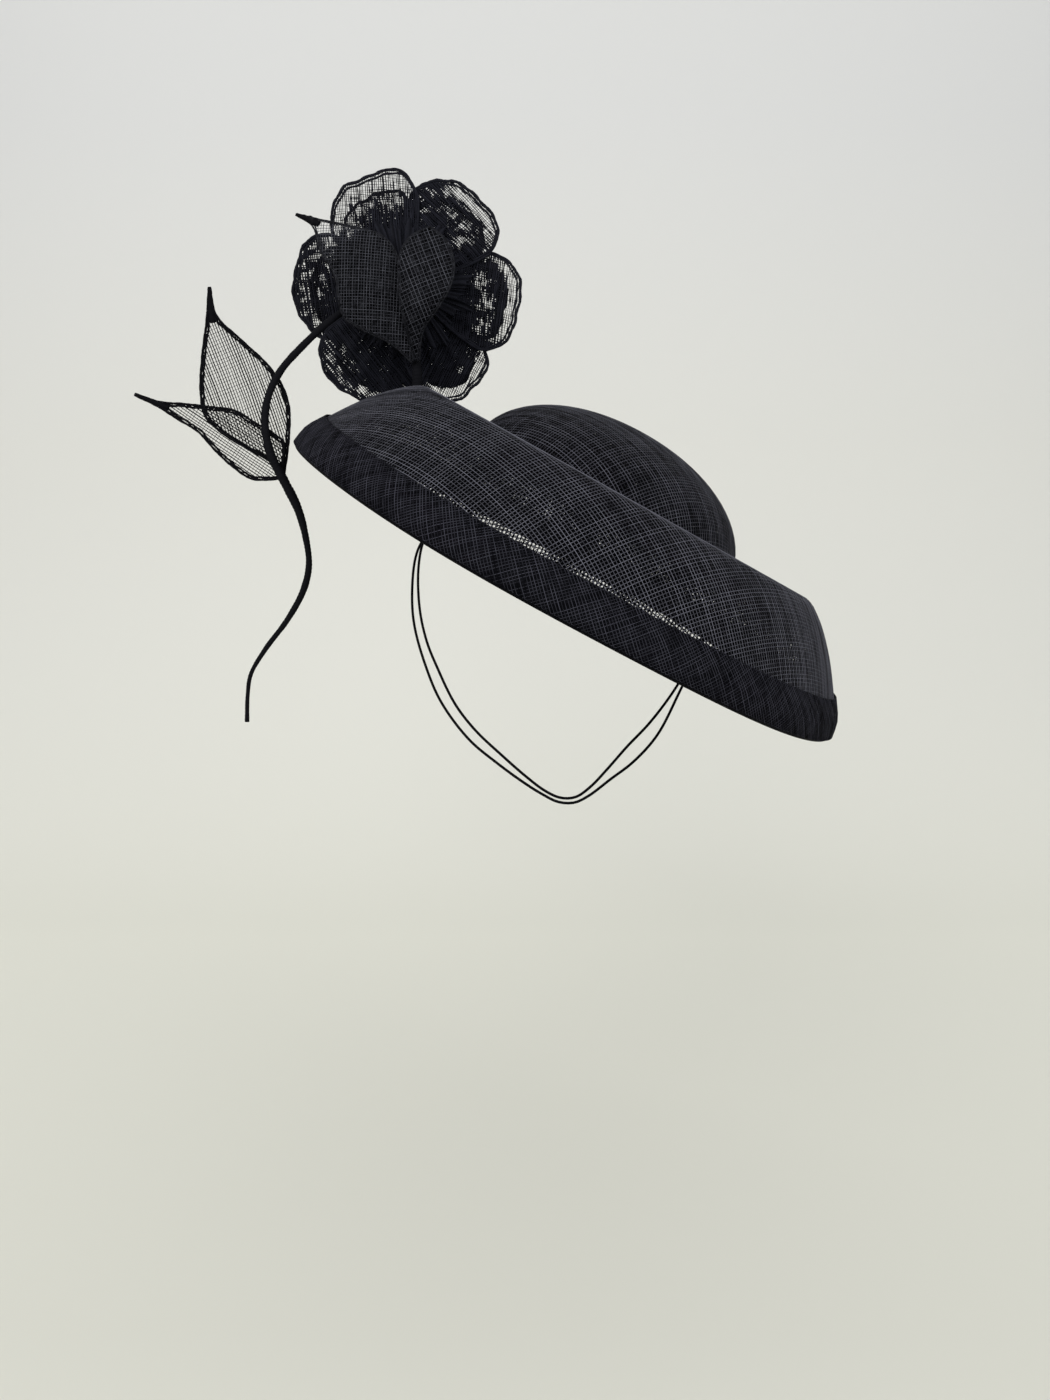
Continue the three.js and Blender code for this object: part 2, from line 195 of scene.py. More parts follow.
ELASTIC_OUTER = [
    (-72.1, 2.7, 37.1), (-83.4, 1, 17.4), (-95, -1.4, -3), (-103, -3, -14.6), (-106, -4.6, -24),
    (-107.4, -8, -44.4), (-105.8, -12, -59.7), (-99.2, -20, -80.7), (-90.2, -29, -99.4),
    (-74.5, -39, -118.4), (-59.2, -46, -129.9), (-44.6, -51, -139.6), (-35, -53, -145.3),
    (-26.5, -54.4, -149.2), (-18, -54.6, -149.6), (-10.5, -54, -146.2), (1.8, -51, -137.5),
    (14, -46, -129.4), (27.6, -38, -116.4), (41.6, -24, -94.1), (56, -10.6, -68), (70.3, 2.7, -40.2),
]

ELASTIC_INNER = [
    (-72.2, -2.5, 36.7), (-83.6, -3.4, 17.4), (-94.4, -4.4, 0), (-101, -5.4, -13),
    (-103.6, -8, -27.9), (-102.8, -12, -49.7), (-98.7, -18, -66.8), (-92.2, -26, -81),
    (-82.2, -34, -99.7), (-71.1, -40, -113), (-57, -45, -125.5), (-43.6, -49, -136.6),
    (-33.5, -51.6, -143.8), (-25, -52.8, -147.4), (-17, -52.6, -147), (-9, -51.4, -141.6),
    (0, -49.4, -132.4), (10.7, -44.6, -121.3), (24.3, -36, -109.1), (40.4, -24, -90.4),
    (55, -13.4, -66), (70.1, -2.5, -40.5),
]

# Camera and studio

CAMERA_PLACE = (-44.1, -599.1, -6.0)
CAMERA_PITCH = math.radians(9.2)  # below the horizon
CAMERA_LENS = 27.05
SENSOR_HEIGHT = 36
FLOOR_HEIGHT = -391


# Curves


def smooth_curve(points, per_span):
    """Centripetal Catmull-Rom curve through the points, as a dense line."""
    p = np.asarray(points, float)
    p = np.vstack([2 * p[0] - p[1], p, 2 * p[-1] - p[-2]])
    spacing = np.sqrt(np.linalg.norm(np.diff(p[:, :3], axis=0), axis=1))
    t = np.linspace(0, 1, per_span, endpoint=False)[:, None]
    line = []
    for i in range(1, len(p) - 2):
        before, span, after = spacing[i - 1], spacing[i], spacing[i + 1]
        start, end = p[i], p[i + 1]
        leave = (start - p[i - 1]) / before - (end - p[i - 1]) / (before + span) + (end - start) / span
        arrive = (end - start) / span - (p[i + 2] - start) / (span + after) + (p[i + 2] - end) / after
        leave, arrive = leave * span, arrive * span
        line.append(
            start + leave * t + (3 * (end - start) - 2 * leave - arrive) * t**2
            + (2 * (start - end) + leave + arrive) * t**3)
    return np.vstack([*line, p[-2][None]])


def lengths_along(line):
    return np.r_[0, np.cumsum(np.linalg.norm(np.diff(line[:, :3], axis=0), axis=1))]


def evenly(line, count):
    """The line with that many points at equal distances."""
    along = lengths_along(line)
    places = np.linspace(0, along[-1], count)
    return np.stack([np.interp(places, along, column) for column in line.T], 1)


def unit(v):
    return v / np.maximum(np.linalg.norm(v, axis=-1, keepdims=True), 1e-9)


def wander(x, seed, wavelength):
    """A smooth random value from about -1 to 1 at each place x."""
    rng = np.random.default_rng(seed)
    value = 0
    for k in range(4):
        turns = x * (0.6 + 0.5 * k) / wavelength
        value = value + np.sin(2 * np.pi * (turns + rng.random())) / (2 + k)
    return value


# Objects and meshes


def add_object(name, data):
    """A new object in the scene."""
    added = bpy.data.objects.new(name, data)
    bpy.context.scene.collection.objects.link(added)
    return added


def add_piece(name, part, material, replaces=()):
    """A smooth-shaded piece from (points in millimetres, quads, tris, tones), riding on the hat."""
    points, quads, tris, tones = part
    mesh = bpy.data.meshes.new(name)
    mesh.vertices.add(len(points))
    mesh.vertices.foreach_set("co", (np.asarray(points) * MM).astype(np.float32).ravel())
    quads = np.asarray(quads, np.int32).reshape(-1, 4)
    tris = np.asarray(tris, np.int32).reshape(-1, 3)
    mesh.loops.add(quads.size + tris.size)
    mesh.loops.foreach_set("vertex_index", np.concatenate([quads.ravel(), tris.ravel()]))
    mesh.polygons.add(len(quads) + len(tris))
    starts = np.concatenate([np.arange(len(quads)) * 4, quads.size + np.arange(len(tris)) * 3])
    mesh.polygons.foreach_set("loop_start", starts.astype(np.int32))
    mesh.update(calc_edges=True)
    mesh.polygons.foreach_set("use_smooth", np.ones(len(mesh.polygons), bool))
    mesh.validate()
    mesh.attributes.new("tone", "FLOAT", "POINT").data.foreach_set("value", tones.astype(np.float32))
    mesh.materials.append(material)
    piece = add_object(name, mesh)
    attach(piece, "root")
    if replaces:
        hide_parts(*replaces)
    return piece


def tubes(lines, normals, half_width, half_height, sides, tones=0.5):
    """Closed tubes along several lines. Sizes are one number, or one for each point of all the lines.
    A tone is one number, or one for each line or each point."""
    counts = np.array([len(line) for line in lines])
    points, normals = np.vstack(lines), unit(np.vstack(normals))
    ends = np.cumsum(counts) - 1
    starts = ends - counts + 1
    tangent = np.empty_like(points)
    tangent[1:-1] = points[2:] - points[:-2]
    tangent[starts] = points[starts + 1] - points[starts]
    tangent[ends] = points[ends] - points[ends - 1]
    tangent = unit(tangent)
    side = unit(np.cross(tangent, normals))
    up = np.cross(side, tangent)
    turn = 2 * np.pi * (np.arange(sides) + 0.25 * (sides == 3)) / sides
    wide = np.asarray(half_width, float).reshape(-1, 1)
    high = np.asarray(half_height, float).reshape(-1, 1)
    ring = (points[:, None] + side[:, None] * (np.cos(turn) * wide)[..., None]
            + up[:, None] * (np.sin(turn) * high)[..., None])
    first = np.setdiff1d(np.arange(len(points)), ends)
    quads = []
    for k in range(sides):
        after = (k + 1) % sides
        quads.append(np.stack([first * sides + k, (first + 1) * sides + k,
                               (first + 1) * sides + after, first * sides + after], 1))
    tris = []
    for k in range(1, sides - 1):
        tris.append(np.stack([starts * sides, starts * sides + k, starts * sides + k + 1], 1))
        tris.append(np.stack([ends * sides, ends * sides + k + 1, ends * sides + k], 1))
    tones = np.asarray(tones, float)
    if tones.size != len(points):
        tones = np.repeat(np.broadcast_to(tones, len(lines)), counts)
    return ring.reshape(-1, 3), np.vstack(quads), np.vstack(tris), np.repeat(tones, sides)


def joined(parts):
    """Several (points, quads, tris, tones) as one."""
    points, quads, tris, tones, offset = [], [], [], [], 0
    for part in parts:
        points.append(part[0])
        quads.append(np.asarray(part[1], int).reshape(-1, 4) + offset)
        tris.append(np.asarray(part[2], int).reshape(-1, 3) + offset)
        tones.append(part[3])
        offset += len(part[0])
    return np.vstack(points), np.vstack(quads), np.vstack(tris), np.concatenate(tones)


def grid_shell(upper, lower, wrap, tone=0.1):
    """A closed sheet between two grids of points. With wrap, the second direction closes on itself."""
    rows, columns = upper.shape[:2]
    across = columns if wrap else columns - 1
    size = rows * columns
    i, j = np.meshgrid(np.arange(rows - 1), np.arange(across), indexing="ij")
    i, j = i.ravel(), j.ravel()
    after = (j + 1) % columns

    def at(r, c):
        return r * columns + c

    quads = [np.stack([at(i, j), at(i + 1, j), at(i + 1, after), at(i, after)], 1)]
    quads.append(quads[0][:, ::-1] + size)
    c = np.arange(across)
    follow = (c + 1) % columns
    for r, flip in ((0, False), (rows - 1, True)):
        rim = np.stack([at(r, c), at(r, follow), at(r, follow) + size, at(r, c) + size], 1)
        quads.append(rim[:, ::-1] if flip else rim)
    if not wrap:
        r = np.arange(rows - 1)
        for column, flip in ((0, True), (columns - 1, False)):
            rim = np.stack([at(r, column), at(r + 1, column),
                            at(r + 1, column) + size, at(r, column) + size], 1)
            quads.append(rim[:, ::-1] if flip else rim)
    points = np.vstack([upper.reshape(-1, 3), lower.reshape(-1, 3)])
    return points, np.vstack(quads), [], np.full(len(points), float(tone))


# Materials


BLACK = (0.002, 0.002, 0.003)
PATCH_SCALE = 320  # noise with patches of about 3 mm
PATCH_SHARE = 0.2  # of the noise in the tone


def add_node(nodes, kind, values=()):
    """A shader node with values at some of its inputs."""
    node = nodes.new("ShaderNode" + kind)
    for key, value in dict(values).items():
        node.inputs[key].default_value = value
    return node


def fabric(name, light, roughness, gloss, dark=BLACK, grain_scale=2600, bump=0.3):
    """Black fibre. Its colour runs from dark to light with the strand's tone, which noise changes a little
    from place to place. In some pieces the tone and the light colour also carry painted light and shade. A
    finer noise gives the bump and varies the roughness."""
    material = bpy.data.materials.new(name)
    material.use_nodes = True
    nodes, links = material.node_tree.nodes, material.node_tree.links
    shader = nodes["Principled BSDF"]
    place = add_node(nodes, "TexCoord")
    patches = add_node(nodes, "TexNoise", {"Scale": PATCH_SCALE, "Detail": 3})
    links.new(place.outputs["Object"], patches.inputs["Vector"])
    strand = add_node(nodes, "Attribute")
    strand.attribute_name = "tone"
    blend = add_node(nodes, "Math", {1: PATCH_SHARE})
    blend.operation = "MULTIPLY_ADD"
    links.new(patches.outputs["Fac"], blend.inputs[0])
    links.new(strand.outputs["Fac"], blend.inputs[2])
    tone = add_node(nodes, "ValToRGB")
    low, high = tone.color_ramp.elements
    low.position = PATCH_SHARE / 2
    low.color, high.color = (*dark, 1), (*light, 1)
    links.new(blend.outputs["Value"], tone.inputs["Fac"])
    links.new(tone.outputs["Color"], shader.inputs["Base Color"])
    grain = add_node(nodes, "TexNoise", {"Scale": grain_scale, "Detail": 4})
    links.new(place.outputs["Object"], grain.inputs["Vector"])
    relief = add_node(nodes, "Bump", {"Strength": bump, "Distance": 0.0002})
    links.new(grain.outputs["Fac"], relief.inputs["Height"])
    links.new(relief.outputs["Normal"], shader.inputs["Normal"])
    polish = add_node(nodes, "MapRange", {"To Min": roughness - 0.08, "To Max": roughness + 0.1})
    links.new(grain.outputs["Fac"], polish.inputs["Value"])
    links.new(polish.outputs["Result"], shader.inputs["Roughness"])
    shader.inputs["Specular IOR Level"].default_value = gloss
    return material


# Painted sheen and shade: the upper strands' light colour is far above black fibre's own and stands in for
# their sheen. The under layer's near black colour is painted shade between them. Both layers are the same
# cloth.
SINAMAY_PAINTED_SHEEN = fabric("sinamay", (0.127, 0.128, 0.154), 0.5, 0.05, dark=(0.003, 0.003, 0.004), bump=0.35)
UNDER_SINAMAY_PAINTED_SHADE = fabric("sinamay_under_painted_shade", (0.006, 0.006, 0.008), 0.7, 0.01)
FLOWER_SINAMAY = fabric("sinamay_flower", (0.029, 0.03, 0.042), 0.6, 0.03)
LEAF_SINAMAY = fabric("sinamay_leaf", (0.176, 0.181, 0.214), 0.55, 0.04)
TENDRIL_SINAMAY = fabric("sinamay_tendril", (0.014, 0.014, 0.018), 0.6, 0.04)
BINDING = fabric("binding", (0.05, 0.05, 0.064), 0.65, 0.02, grain_scale=2200, bump=0.4)
WRAPPED_WIRE = fabric("wrapped_wire", (0.008, 0.008, 0.010), 0.66, 0.03, grain_scale=1500, bump=0.5)
ELASTIC = fabric("elastic", (0.005, 0.005, 0.006), 0.5, 0.05, grain_scale=3000, bump=0.4)


def studio_paint_painted_shade():
    """Pale paint: a little warmer and darker on the floor, and a little darker high on the wall. The
    darkening is painted shade.
    Its colour follows the sum of a place's distance back and its height, in metres."""
    material = bpy.data.materials.new("studio_paint_painted_shade")
    material.use_nodes = True
    nodes, links = material.node_tree.nodes, material.node_tree.links
    shader = nodes["Principled BSDF"]
    place = add_node(nodes, "TexCoord")
    back_and_up = add_node(nodes, "VectorMath", {1: (0, 1, 1)})
    back_and_up.operation = "DOT_PRODUCT"
    links.new(place.outputs["Object"], back_and_up.inputs[0])
    spread = add_node(nodes, "MapRange", {"From Min": -0.6, "From Max": 1.5})
    links.new(back_and_up.outputs["Value"], spread.inputs["Value"])
    tone = add_node(nodes, "ValToRGB")
    # Painted shade: the ramp darkens towards the front of the floor and high on the wall.
    stops = [(0.03, (0.68, 0.676, 0.6)), (0.27, (0.79, 0.785, 0.7)),
             (0.76, (0.735, 0.73, 0.69)), (0.97, (0.69, 0.69, 0.68))]
    while len(tone.color_ramp.elements) < len(stops):
        tone.color_ramp.elements.new(0.5)
    for element, (position, colour) in zip(tone.color_ramp.elements, stops):
        element.position = position
        element.color = (*colour, 1)
    links.new(spread.outputs["Result"], tone.inputs["Fac"])
    links.new(tone.outputs["Color"], shader.inputs["Base Color"])
    shader.inputs["Roughness"].default_value = 0.9
    return material


# Camera


def add_camera():
    """The camera looks along +Y and a little down."""
    camera = add_object("camera", bpy.data.cameras.new("camera"))
    camera.location = Vector(CAMERA_PLACE) * MM
    camera.rotation_euler = (math.pi / 2 - CAMERA_PITCH, 0, 0)
    camera.data.sensor_fit = "VERTICAL"
    camera.data.sensor_height = SENSOR_HEIGHT
    camera.data.lens = CAMERA_LENS
    bpy.context.scene.camera = camera


add_camera()


# Elastics


def add_elastic(name, route):
    """A round elastic along its route, which ends inside the hat on both sides."""
    points = 161
    line = evenly(smooth_curve(route, 12), points) * MM
    curve = bpy.data.curves.new(name, "CURVE")
    curve.dimensions = "3D"
    curve.bevel_depth = ELASTIC_DIAMETER / 2 * MM
    curve.bevel_resolution = 3
    curve.use_fill_caps = True
    spline = curve.splines.new("POLY")
    spline.points.add(points - 1)
    spline.points.foreach_set("co", np.column_stack([line, np.ones(points)]).ravel())
    curve.materials.append(ELASTIC)
    piece = add_object(name + "_cord", curve)
    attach(piece, "root")
    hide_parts(name)


add_elastic("elastic_outer", ELASTIC_OUTER)
add_elastic("elastic_inner", ELASTIC_INNER)


# Hat


def tilted(points):
    """From the level hat to the frame of the CAD model."""
    x, y, z = points[..., 0], points[..., 1], points[..., 2]
    y, z = (y * math.cos(FORWARD_TILT) - z * math.sin(FORWARD_TILT),
            y * math.sin(FORWARD_TILT) + z * math.cos(FORWARD_TILT))
    x, z = (x * math.cos(SIDE_TILT) + z * math.sin(SIDE_TILT),
            -x * math.sin(SIDE_TILT) + z * math.cos(SIDE_TILT))
    return np.stack([x, y, z], -1)


class Turned:
    """A surface turned about the hat's axis. s is the distance along its section, from inside out."""

    def __init__(self, section, first, shift=0):
        self.section = section
        self.s = first + lengths_along(section)
        tangent = unit(np.gradient(section, self.s, axis=0))
        self.outward = np.stack([-tangent[:, 1], tangent[:, 0]], 1)
        self.shift = shift

    def place(self, s, angle, lift):
        """Points and normals in the frame of the CAD model."""
        out = np.stack([np.interp(s, self.s, column) for column in self.outward.T], -1)
        radius = np.interp(s, self.s, self.section[:, 0]) + lift * out[..., 0]
        height = np.interp(s, self.s, self.section[:, 1]) + lift * out[..., 1] + waviness(s, angle)
        ahead = np.cos(angle), np.sin(angle)
        points = np.stack([radius * ahead[0] + self.shift, radius * ahead[1], height - SEAT_HEIGHT], -1)
        normals = np.stack([out[..., 0] * ahead[0], out[..., 0] * ahead[1], out[..., 1]], -1)
        return tilted(points), tilted(normals)


def waviness(s, angle):
    """The brim's edge isn't quite flat."""
    share = np.clip((s - 150) / 60, 0, 1) ** 2
    return share * (0.8 * np.sin(3 * angle + 0.6) + 0.6 * np.sin(5 * angle + 2.1))


def brim_surface():
    section = np.vstack([smooth_curve(BRIM_PROFILE, 12), [OPENING_RADIUS, SEAT_HEIGHT]])[::-1]
    return Turned(section, OPENING_RADIUS)


def crown_surface():
    angle = np.linspace(math.pi / 2, 0, 80)
    radius = CROWN_RADIUS * np.maximum(0, np.cos(angle)) ** (2 / CROWN_FULLNESS)
    height = SEAT_HEIGHT + GAP + CROWN_RISE * np.sin(angle) ** (2 / CROWN_FULLNESS)
    return Turned(np.stack([radius, height], 1), 0, CROWN_SHIFT)


BRIM = brim_surface()
CROWN = crown_surface()


def straight_strands(inner, outer, pitch, step, seed):
    """Lines of one direction across a flat ring of cloth: distance from its centre and angle."""
    rng = np.random.default_rng(seed)
    lines = []
    for offset in np.arange(-outer + pitch / 2, outer, pitch):
        offset = offset + rng.normal(0, 0.03)
        reach = math.sqrt(max(outer**2 - offset**2, 0))
        hole = math.sqrt(max(inner**2 - offset**2, 0))
        spans = [(-reach, -hole), (hole, reach)] if hole > 0 else [(-reach, reach)]
        for low, high in spans:
            if high - low < step:
                continue
            along = np.linspace(low, high, max(3, int((high - low) / step) + 2))
            drift = 0.06 * wander(along, rng.integers(1 << 30), 60)
            lines.append(np.stack([along, offset + drift], 1))
    return lines


def looseness(s, angle):
    """From 0 for close cloth to 1 in the loose patches just above the binding."""
    begin, full = 44, 4  # distances above the binding
    binding_top = BRIM.s[-1] - BINDING_WIDTH
    rise = np.clip((s - binding_top + begin) / (begin - full), 0, 1) ** 1.2
    around = angle * 150
    blot = 0.42 + 0.5 * wander(around, 5, 46) + 0.35 * wander(around + s, 6, 15)
    return rise * np.clip(blot, 0, 1)


def woven_on(surface, inner, outer, turn, lift, strand, light, seed, loosen=0):
    """Strands in two directions on a turned surface, as if laid from a flat cloth.
    light is the range of their tones, and loosen is how much thinner they get in loose patches."""
    parts = []
    for family in (0, 1):
        lines, normals, widths, tones = [], [], [], []
        rng = np.random.default_rng(seed + 17 * family)
        for line in straight_strands(inner, outer, PITCH, STRAND_STEP, seed + family):
            along, aside = line.T
            s = np.clip(np.hypot(along, aside), inner, outer)
            angle = np.arctan2(aside, along) + turn + family * math.pi / 2
            points, out = surface.place(s, angle, lift + (CROSSING if family else -CROSSING))
            lines.append(points)
            normals.append(out)
            size = strand / 2 * rng.uniform(0.92, 1.08)
            widths.append(size * (1 - loosen * looseness(s, angle)))
            tones.append(rng.uniform(*light) + STREAKS * rng.uniform(-1, 1, len(along)))
        widths, tones = np.concatenate(widths), np.concatenate(tones)
        parts.append(tubes(lines, normals, widths, STRAND_RISE, 3, tones))
    return joined(parts)


def hoop(surface, s, lift, radius, tone=0.1):
    """A thin rolled edge all round a turned surface."""
    angle = np.linspace(0, 2 * math.pi, 360)
    points, normals = surface.place(np.full(len(angle), float(s)), angle, lift)
    rough = radius * (1 + 0.12 * wander(angle * 40, 5, 3))
    return tubes([points], [normals], rough, rough, 8, tone)


def add_hat():
    """Crown and brim, each of two layers of cloth, with rolled edges and a thin light hoop on the ridge as
    a painted highlight.
    """
    crown, brim = (CROWN, 0, CROWN.s[-1]), (BRIM, OPENING_RADIUS, BRIM.s[-1])
    ridge = BRIM.s[np.argmax(BRIM.section[:, 1])]
    roll = 0.6
    upper = dict(turn=GRAIN, lift=-LAYER_DEPTH, strand=STRAND)
    # The under layers are drawn near black, as painted shade between the upper strands.
    under = dict(turn=GRAIN + UNDER_TURN, lift=-LAYER_DEPTH - LAYER_GAP, strand=UNDER_STRAND,
                 light=UNDER_TONES)

    cloth = woven_on(*crown, **upper, light=CROWN_TONES, seed=11)
    foot = hoop(CROWN, CROWN.s[-1] - roll, -0.6, roll)
    add_piece("crown_cloth", joined([cloth, foot]), SINAMAY_PAINTED_SHEEN, ["crown"])
    add_piece("crown_cloth_under", woven_on(*crown, **under, seed=12), UNDER_SINAMAY_PAINTED_SHADE)

    cloth = woven_on(*brim, **upper, light=BRIM_TONES, seed=13, loosen=UPPER_LOOSENESS)
    opening = hoop(BRIM, OPENING_RADIUS + roll, -0.7, roll)
    # A thin hoop on the ridge with a light tone: a painted highlight where the ridge catches the light.
    ridge_painted_highlight = hoop(BRIM, ridge, -0.15, 0.22, 0.9)
    add_piece("brim_cloth", joined([cloth, opening, ridge_painted_highlight]), SINAMAY_PAINTED_SHEEN, ["brim"])
    cloth = woven_on(*brim, **under, seed=14, loosen=UNDER_LOOSENESS)
    add_piece("brim_cloth_under", cloth, UNDER_SINAMAY_PAINTED_SHADE)


def fold_section(outside, inside, rows):
    """Section of one of the binding's faces, from the top of its outer side round the edge
    to its inner top: distance along the brim's section, and lift."""
    edge = BRIM.s[-1]
    down = np.linspace(edge - BINDING_WIDTH, edge, rows)
    fold = (edge, (outside + inside) / 2)
    return [(s, outside) for s in down] + [fold] + [(s, inside) for s in down[::-1]]


def binding_grid(outside, inside, beyond, angles, rows):
    """A face of the folded binding, whose fold lies a little beyond the brim's edge."""
    grid = []
    for index, (s, lift) in enumerate(fold_section(outside, inside, rows)):
        points, _ = BRIM.place(np.full(len(angles), s), angles, lift)
        if index == rows:
            above, _ = BRIM.place(np.full(len(angles), s - 1), angles, lift)
            points = points + (points - above) * beyond
        grid.append(points)
    return np.array(grid)


def add_binding():
    """A folded strip over the brim's edge, with bias strands and a rolled upper edge on both sides."""
    angles = np.linspace(0, 2 * math.pi, 240, endpoint=False)
    rows = 9
    edge, edge_radius = BRIM.s[-1], BRIM.section[-1, 0]
    top = edge - BINDING_WIDTH
    under_face = -CLOTH - BINDING_LIFT
    face = binding_grid(BINDING_LIFT - 0.25, under_face + 0.25, 1.1, angles, rows)
    back = binding_grid(0.35, -CLOTH - 0.35, 0.4, angles, rows)
    parts = [grid_shell(face, back, True, 0)]
    # Bias strands over the strip, from its outer top to its inner top
    count = int(2 * math.pi * edge_radius / (BINDING_PITCH * math.sqrt(2)))
    steps_across = 11
    w = np.linspace(0, 2 * BINDING_WIDTH, steps_across)
    outer_side = w <= BINDING_WIDTH
    s = np.where(outer_side, top + w, edge + BINDING_WIDTH - w)
    lift = np.where(outer_side, BINDING_LIFT - 0.1, under_face + 0.1)
    for family in (-1, 1):
        lines, normals, tones = [], [], []
        rng = np.random.default_rng(31 + family)
        for k in range(count):
            angle = 2 * math.pi * (k + rng.normal(0, 0.06)) / count + family * w / edge_radius
            points, out = BRIM.place(s, angle, lift + 0.06 * family * np.where(outer_side, 1, -1))
            lines.append(points)
            normals.append(np.where(outer_side[:, None], out, -out))
            tones.append(rng.uniform(0.2, 0.7) + rng.uniform(-0.35, 0.35, steps_across))
        parts.append(tubes(lines, normals, BINDING_STRAND / 2, 0.2, 3, np.concatenate(tones)))
    parts.append(hoop(BRIM, top, BINDING_LIFT - 0.45, 0.42))
    parts.append(hoop(BRIM, top, under_face + 0.45, 0.42))
    add_piece("brim_binding_cloth", joined(parts), BINDING, ["brim_binding"])


add_hat()
add_binding()


# Flower


def runs_inside(flags):
    """Every second index, and the last, of each stretch of three or more places that is inside."""
    change = np.flatnonzero(np.diff(np.r_[0, flags, 0]))
    return [np.unique(np.r_[a:b - 1:2, b - 1]) for a, b in change.reshape(-1, 2) if b - a > 2]


class Petal:
    """A cupped petal. u is a share of its length, and v runs across it from -1 to 1."""

    def __init__(self, shape, layer, seed):
        self.shape, self.layer = shape, layer
        self.phase = np.random.default_rng(seed).random(3) * 2 * math.pi
        self.root = CORE_RADIUS + PETAL_GAP

    def rim(self, v):
        """Distance of the rim from the flower's centre, with its corners and small waves."""
        side = v * v
        trim = np.where(v < 0, self.shape["trim_start"], self.shape["trim_end"]) * np.abs(v) ** 1.5
        outline = 1 - ROUND_SOFT * side - ROUND_SHARP * side**3
        rim = (self.shape["reach"] * outline - trim) * self.layer["size"]
        for place, extra in self.shape.get("corners", ()):
            rim = rim + extra * np.exp(-((v - place) / CORNER_WIDTH) ** 2)
        return rim + 0.7 * np.sin(7 * v + self.phase[0]) + 0.35 * np.sin(19 * v + self.phase[1])

    def fan(self, u):
        """Half of the angle that the petal covers at u."""
        return self.shape["half"] * self.layer["spread"] * (1.16 - 0.16 * u * u)

    def place(self, u, v):
        """A point of the petal, with its cup, curled rim, pleats and ruffles."""
        layer, side = self.layer, v * v
        radius = self.root + (self.rim(v) - self.root) * u
        angle = np.radians(self.shape["direction"] + v * self.fan(u))
        out = radius / PETAL_REACH
        curl = layer["curl"] * (1 - side) * np.maximum(0, (u - 0.7) / 0.3) ** 2
        depth = layer["depth"] + layer["cup"] * out * out - curl
        depth = depth + (PETAL_EDGE_CUP * side + layer["lap"] * v) * out
        pleat = np.sin(4.6 * math.pi * v + self.phase[1]) * 1.5
        pleat = pleat * np.sin(math.pi * np.clip(u, 0, 1)) ** 0.6 * (1.15 - u)
        ruffle = 0.9 * np.sin(8 * v + self.phase[2]) * u**4
        depth = depth + pleat + ruffle
        return FLOWER_CENTRE + np.stack([radius * np.cos(angle), depth, radius * np.sin(angle)], -1)

    def normals(self, u, v):
        tiny = 1e-3
        return unit(np.cross(self.place(u, v + tiny) - self.place(u, v - tiny),
                             self.place(u + tiny, v) - self.place(u - tiny, v)))

    def over(self, x, z):
        """The u and v of a place in the flower's plane."""
        radius, angle = np.hypot(x, z), np.degrees(np.arctan2(z, x))
        turned = (angle - self.shape["direction"] + 180) % 360 - 180
        u = np.full(x.shape, 0.7)
        for _ in range(8):
            v = turned / self.fan(np.clip(u, 0, 1.2))
            u = (radius - self.root) / (self.rim(np.clip(v, -1, 1)) - self.root)
        return u, v

    def openness(self, x, z, u, v):
        """1 where the cloth lies open, and 0 where it is bunched up."""
        value = np.zeros(x.shape)
        for direction, distance, size in self.shape["windows"]:
            direction = math.radians(direction)
            away = np.hypot(x - distance * math.cos(direction), z - distance * math.sin(direction))
            value = np.maximum(value, 1.1 * np.exp(-(away / size) ** 2) * (0.9 + 0.3 * patches(x, z, 8)))
        if self.layer["name"] == "outer":
            low, high = self.shape["band"]
            if high > low:
                inside = 1 / (1 + np.exp(-BAND_SLOPE * (v - low))) / (1 + np.exp(-BAND_SLOPE * (high - v)))
            else:
                inside = SHUT_BAND
            value = np.maximum(value, inside * np.clip((u - BAND_FROM) / 0.05, 0, 1))
        elif "light" not in self.shape:
            value = value * np.clip((INNER_RIM_FROM - u) / 0.04, 0, 1)
        return np.clip(value, 0, 1)


def patches(x, z, seed):
    """Smooth random patches 3 to 9 mm wide, from about -1 to 1."""
    rng = np.random.default_rng(seed)
    value = 0
    for _ in range(9):
        turn, wavelength = rng.random() * 2 * math.pi, rng.uniform(3, 9)
        along = x * math.cos(turn) + z * math.sin(turn)
        value = value + np.sin(2 * math.pi * (along / wavelength + rng.random())) / 3
    return value


def petal_cloth(petal, seed):
    """Threads in two directions, laid straight in the flower's plane and bent with the petal."""
    shape, layer = petal.shape, petal.layer
    cloth_from = 0.3  # nearer to the core, the gathers are all that shows
    reach = PETAL_REACH + 4
    parts = []
    for family in (0, 1):
        rng = np.random.default_rng(seed + family)
        turn = math.radians(shape["grain"] + layer["turn"] + 84 * family)
        closed, opened = layer["closed"][family], layer["open"][family]
        lines, normals, widths, tones = [], [], [], []
        for offset in np.arange(-reach, reach, layer["pitch"][family]):
            e = np.arange(-reach, reach, 0.8)
            shift = offset + rng.normal(0, 0.12) + 0.4 * wander(e, rng.integers(1 << 30), 26)
            x = e * math.cos(turn) - shift * math.sin(turn)
            z = e * math.sin(turn) + shift * math.cos(turn)
            u, v = petal.over(x, z)
            half = closed + (opened - closed) * petal.openness(x, z, u, v)
            half = half * (1 + 0.3 * patches(x, z, seed + 9)) * rng.uniform(0.85, 1.15)
            for pick in runs_inside((np.abs(v) < 1) & (u > cloth_from) & (u < 1)):
                out = petal.normals(u[pick], v[pick])
                lines.append(petal.place(u[pick], v[pick]) + out * (0.14 if family else -0.14))
                normals.append(out)
                widths.append(np.clip(half[pick], 0.1, 1))
                tones.append(rng.uniform(0.15, 0.4))
        size = np.concatenate(widths)
        parts.append(tubes(lines, normals, size, np.minimum(size * 0.7, 0.22), 3, tones))
    return parts


